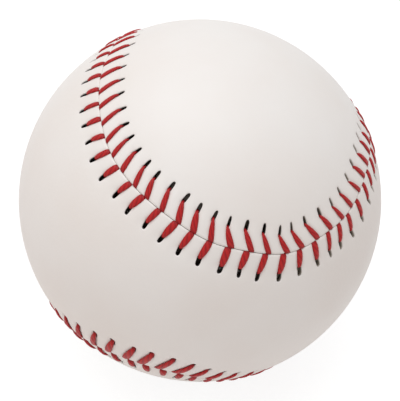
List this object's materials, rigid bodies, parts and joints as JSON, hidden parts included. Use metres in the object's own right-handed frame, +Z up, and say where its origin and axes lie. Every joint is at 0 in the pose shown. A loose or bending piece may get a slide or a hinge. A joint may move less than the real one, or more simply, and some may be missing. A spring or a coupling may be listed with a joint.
{
  "type": "baseball",
  "caption": "Round hand-sewn baseball: a stitched figure-eight leather cover over yarn windings and a cushioned cork centre, made to be thrown, caught and hit with a bat.",
  "frame": {"origin": "centre of the ball", "axes": "+Z up, +Y along the seam's axis of symmetry, with the front panel's waist towards -Y"},
  "size_m": [0.0738, 0.0738, 0.0738],
  "materials": {
    "cork": "moulded cork granules",
    "black_rubber": "matt moulded",
    "red_rubber": "matt moulded",
    "grey_wool": "wound yarn",
    "white_wool": "wound yarn",
    "cotton_yarn": "fine wound yarn",
    "cement": "thin dried film",
    "cowhide": "satin white tanned",
    "red_thread": "waxed and twisted"
  },
  "bodies": {
    "root": {"cork_core": "cork", "upper_black_shell": "black_rubber", "lower_black_shell": "black_rubber", "red_gasket": "red_rubber", "red_rubber_jacket": "red_rubber", "first_winding": "grey_wool", "second_winding": "white_wool", "third_winding": "grey_wool", "fourth_winding": "cotton_yarn", "cement_coat": "cement", "front_cover": "cowhide", "back_cover": "cowhide", "waxed_thread": "red_thread"}
  },
  "joints": []
}
